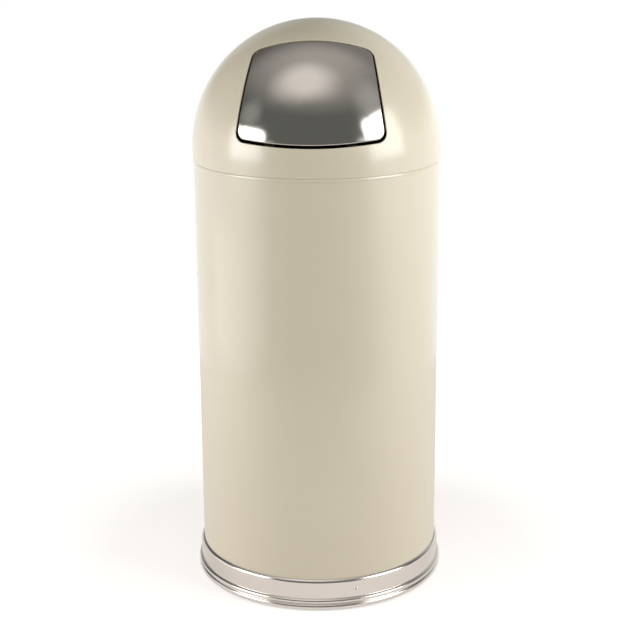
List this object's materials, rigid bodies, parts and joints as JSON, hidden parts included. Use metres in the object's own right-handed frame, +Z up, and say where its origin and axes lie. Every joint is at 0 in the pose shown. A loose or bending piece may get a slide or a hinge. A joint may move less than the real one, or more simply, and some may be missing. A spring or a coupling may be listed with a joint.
{
  "type": "dome top waste receptacle",
  "caption": "Round steel waste receptacle with a lift-off dome, a self-closing push door, a bright base ring and a lift-out liner.",
  "frame": {"origin": "floor centre, under the middle of the round body", "axes": "+Z up along the body's axis, -Y towards the door, +X to the right as one faces the door from -Y looking along +Y"},
  "size_m": [0.3982, 0.3982, 0.889],
  "materials": {
    "enamel": "almond baked enamel, gloss",
    "bright_ring": "bright rolled stainless",
    "polished_door": "polished stainless",
    "zinc_plate": "zinc plated",
    "rod_steel": "bright drawn wire",
    "galvanised": "galvanised sheet",
    "vinyl": "matt black vinyl"
  },
  "bodies": {
    "receptacle_body": {"body_shell": "enamel", "bottom_pan": "zinc_plate", "base_ring": "bright_ring", "base_ring_rivets": "bright_ring", "foot_gasket": "vinyl"},
    "dome": {"dome_shell": "enamel", "hinge_bracket_left": "zinc_plate", "hinge_bracket_right": "zinc_plate", "hinge_rod": "rod_steel", "rod_clips": "rod_steel", "door_spring": "rod_steel"},
    "door": {"push_door": "polished_door", "door_lug_left": "zinc_plate", "door_lug_right": "zinc_plate", "stop_tab_left": "zinc_plate", "stop_tab_right": "zinc_plate", "door_bumpers": "vinyl"},
    "liner": {"liner_wall": "galvanised", "rim_wire": "rod_steel", "liner_bottom": "galvanised", "liner_ear_left": "galvanised", "liner_ear_right": "galvanised", "ear_rivets": "rod_steel"},
    "bail": {"bail_handle": "rod_steel"}
  },
  "joints": [
    {"name": "dome_lift", "type": "slide", "parent": "receptacle_body", "child": "dome", "axis": [0, 0, 1], "range_m": [0, 1]},
    {"name": "door_swing", "type": "hinge", "parent": "dome", "child": "door", "pos_m": [0, -0.08085, 0.84872], "axis": [1, 0, 0], "range_deg": [0, 60], "stiffness_Nm_per_rad": 0.35, "springref_deg": -68.75, "deforming": ["door_spring"]},
    {"name": "liner_lift", "type": "slide", "parent": "receptacle_body", "child": "liner", "axis": [0, 0, 1], "range_m": [0, 0.7]},
    {"name": "bail_swing", "type": "hinge", "parent": "liner", "child": "bail", "pos_m": [0, 0, 0.632], "axis": [1, 0, 0], "range_deg": [0, 217.4]}
  ],
  "couplings": [
    {"joint": "liner_lift", "follows": "dome_lift", "ratio": 0.7}
  ]
}
